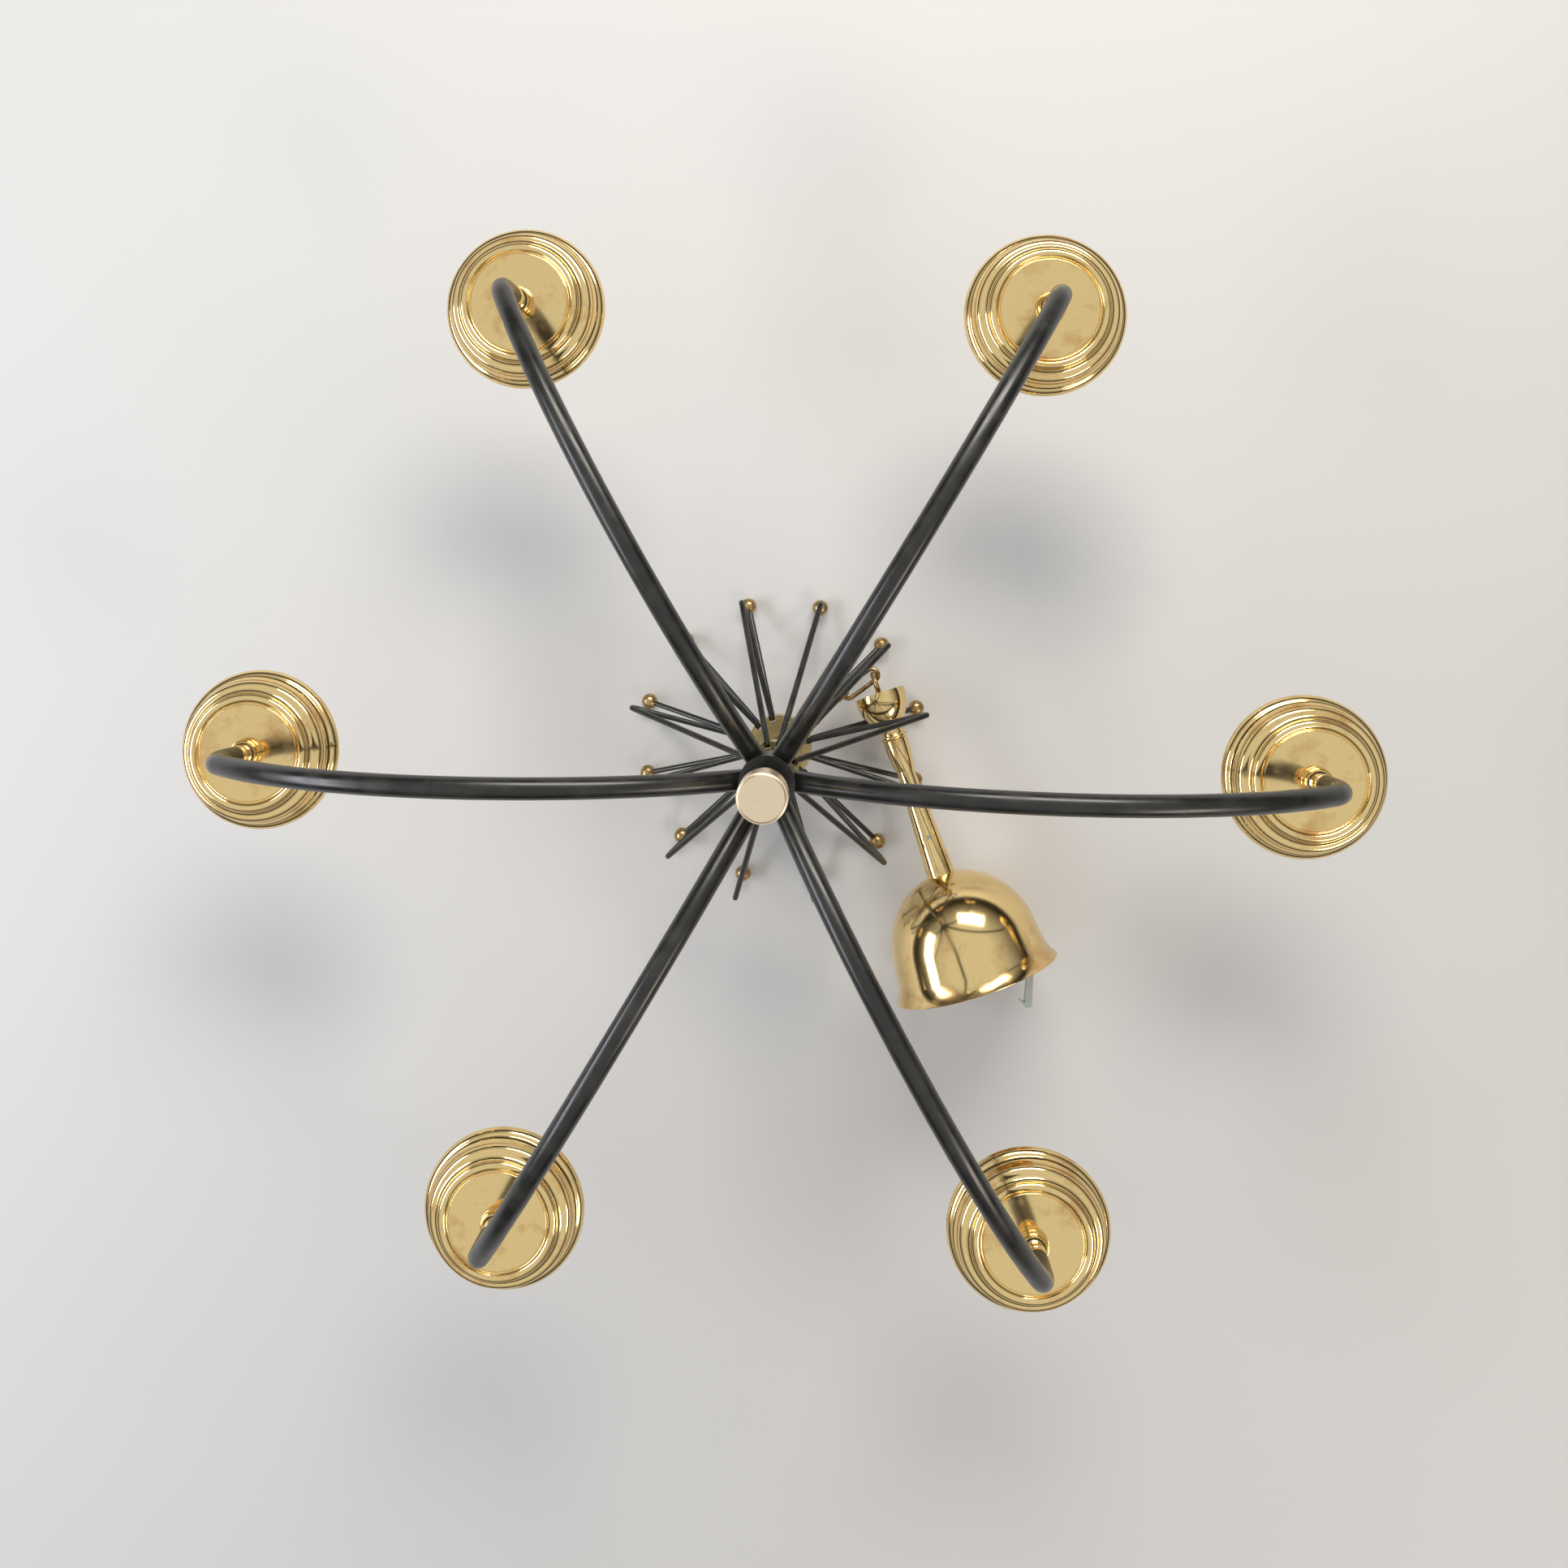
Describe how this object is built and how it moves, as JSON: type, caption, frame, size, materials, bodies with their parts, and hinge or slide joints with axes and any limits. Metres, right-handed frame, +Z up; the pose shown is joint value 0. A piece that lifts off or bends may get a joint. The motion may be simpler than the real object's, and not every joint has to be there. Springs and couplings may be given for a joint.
{
  "type": "sputnik chandelier",
  "caption": "Ceiling light with swept black arms, stepped brass cups and a star of wires and ball-tipped rods; its stem and canopy hang loose on a chain.",
  "frame": {"origin": "on the floor under the centre rod, with the light lying on its back", "axes": "+Z up from the floor along the centre rod to the end cap, +X along one arm"},
  "size_m": [0.806, 0.7124, 0.281],
  "materials": {
    "black_lacquer": "satin black stoved lacquer",
    "polished_brass": "polished, lacquered brass",
    "satin_brass": "pale satin brass",
    "aged_brass": "brass darkened with age",
    "pale_brass": "turned brass, lightly worn",
    "zinc_steel": "zinc-plated steel",
    "bakelite": "dark moulded lampholder",
    "flex": "insulated flex inside the arms",
    "clear_plastic": "clear moulded plastic"
  },
  "bodies": {
    "fixture": {"arm_1": "black_lacquer", "arm_2": "black_lacquer", "arm_3": "black_lacquer", "arm_4": "black_lacquer", "arm_5": "black_lacquer", "arm_6": "black_lacquer", "arm_hub": "black_lacquer", "arm_wires": "flex", "cap_spacer": "black_lacquer", "castle_collar": "pale_brass", "centre_contacts": "zinc_steel", "centre_rod": "zinc_steel", "cup_1": "polished_brass", "cup_2": "polished_brass", "cup_3": "polished_brass", "cup_4": "polished_brass", "cup_5": "polished_brass", "cup_6": "polished_brass", "cup_neck_1": "polished_brass", "cup_neck_2": "polished_brass", "cup_neck_3": "polished_brass", "cup_neck_4": "polished_brass", "cup_neck_5": "polished_brass", "cup_neck_6": "polished_brass", "end_cap": "satin_brass", "hairpins": "black_lacquer", "hub_eye": "aged_brass", "lampholder_1": "bakelite", "lampholder_2": "bakelite", "lampholder_3": "bakelite", "lampholder_4": "bakelite", "lampholder_5": "bakelite", "lampholder_6": "bakelite", "lock_nut": "zinc_steel", "lower_collar": "pale_brass", "lower_spacer": "black_lacquer", "nipples": "zinc_steel", "star_balls": "aged_brass", "star_rods": "black_lacquer", "upper_collar": "pale_brass", "upper_spacer": "black_lacquer"},
    "chain": {"chain_links": "aged_brass"},
    "stem": {"stem_bell": "polished_brass", "ring_nut": "polished_brass", "stem_cone": "polished_brass", "stem_tube": "polished_brass", "stem_eye": "aged_brass", "ceiling_hook": "clear_plastic", "hook_nipple": "zinc_steel", "hook_nut": "zinc_steel"},
    "canopy": {"canopy": "polished_brass", "canopy_sleeve": "polished_brass", "canopy_screw": "zinc_steel"}
  },
  "joints": [
    {"name": "chain_swing", "type": "hinge", "parent": "fixture", "child": "chain", "pos_m": [0.00625, 0.00499, 0.016], "axis": [0, 0, 1], "range_deg": [-4, 1]},
    {"name": "stem_swing", "type": "hinge", "parent": "chain", "child": "stem", "pos_m": [0.06829, 0.05447, 0.03511], "axis": [0, 0, 1], "range_deg": [0, 100]},
    {"name": "canopy_slide", "type": "slide", "parent": "stem", "child": "canopy", "axis": [-0.3391, 0.9342, -0.1113], "range_m": [0, 0.02]}
  ]
}
